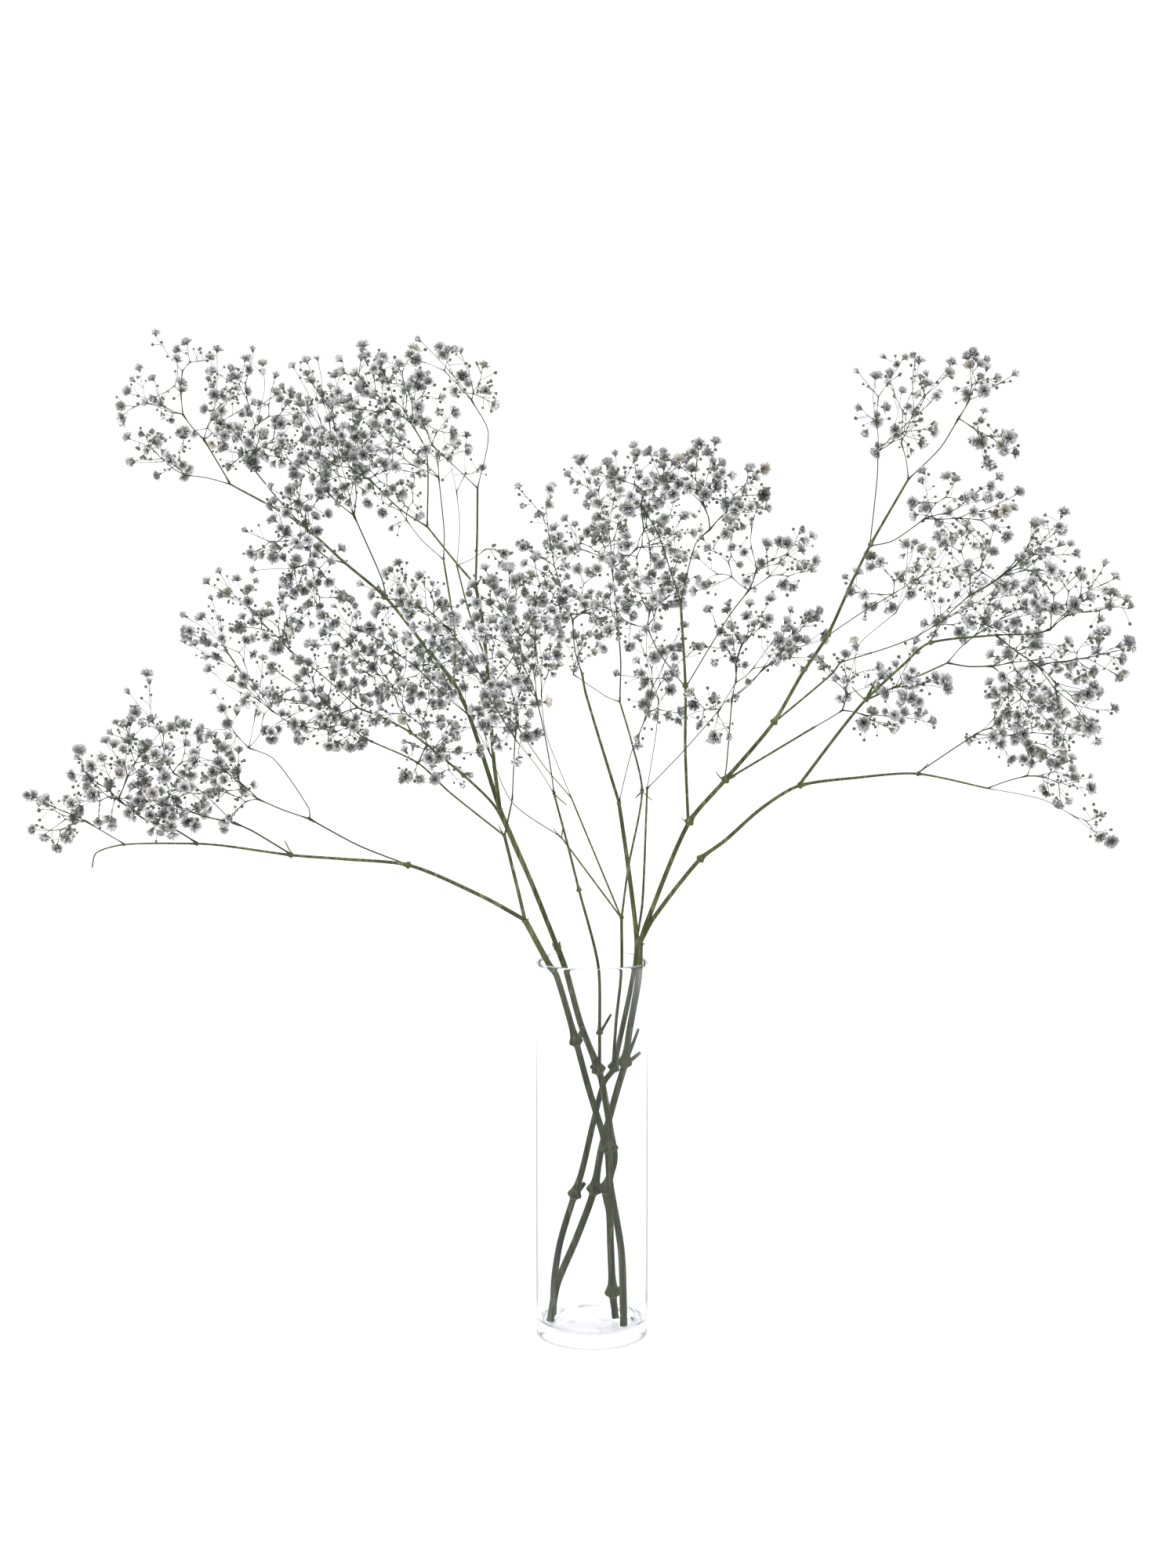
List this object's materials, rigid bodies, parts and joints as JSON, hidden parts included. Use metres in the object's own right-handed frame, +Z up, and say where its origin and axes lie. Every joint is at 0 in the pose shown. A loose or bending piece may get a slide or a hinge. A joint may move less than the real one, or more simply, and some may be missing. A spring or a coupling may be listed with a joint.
{
  "type": "gypsophila stems in a vase",
  "caption": "Cut gypsophila stems with airy sprays of small double blooms, standing in a clear glass cylinder vase.",
  "frame": {"origin": "centre of the vase's underside", "axes": "+Z up, +X to the right as seen from the front, +Y away from the viewer; the wide side of the plant runs along X"},
  "size_m": [0.8313, 0.4621, 0.8093],
  "materials": {
    "glass": "clear, smooth",
    "stem": "dull green bark",
    "bloom": "dry petals"
  },
  "bodies": {
    "root": {"spray_a1": "bloom", "spray_a2": "bloom", "spray_a3": "bloom", "spray_a4": "bloom", "spray_a5": "bloom", "spray_a6": "bloom", "spray_a7": "bloom", "spray_b1": "bloom", "spray_b10": "bloom", "spray_b11": "bloom", "spray_b12": "bloom", "spray_b13": "bloom", "spray_b2": "bloom", "spray_b3": "bloom", "spray_b4": "bloom", "spray_b5": "bloom", "spray_b6": "bloom", "spray_b7": "bloom", "spray_b8": "bloom", "spray_b9": "bloom", "spray_c1": "bloom", "spray_c2": "bloom", "spray_c3": "bloom", "spray_c4": "bloom", "spray_c5": "bloom", "spray_c6": "bloom", "spray_d1": "bloom", "spray_d10": "bloom", "spray_d11": "bloom", "spray_d12": "bloom", "spray_d13": "bloom", "spray_d14": "bloom", "spray_d15": "bloom", "spray_d2": "bloom", "spray_d3": "bloom", "spray_d4": "bloom", "spray_d5": "bloom", "spray_d6": "bloom", "spray_d7": "bloom", "spray_d8": "bloom", "spray_d9": "bloom", "stem_a": "stem", "stem_b": "stem", "stem_c": "stem", "stem_d": "stem", "vase": "glass"}
  },
  "joints": []
}
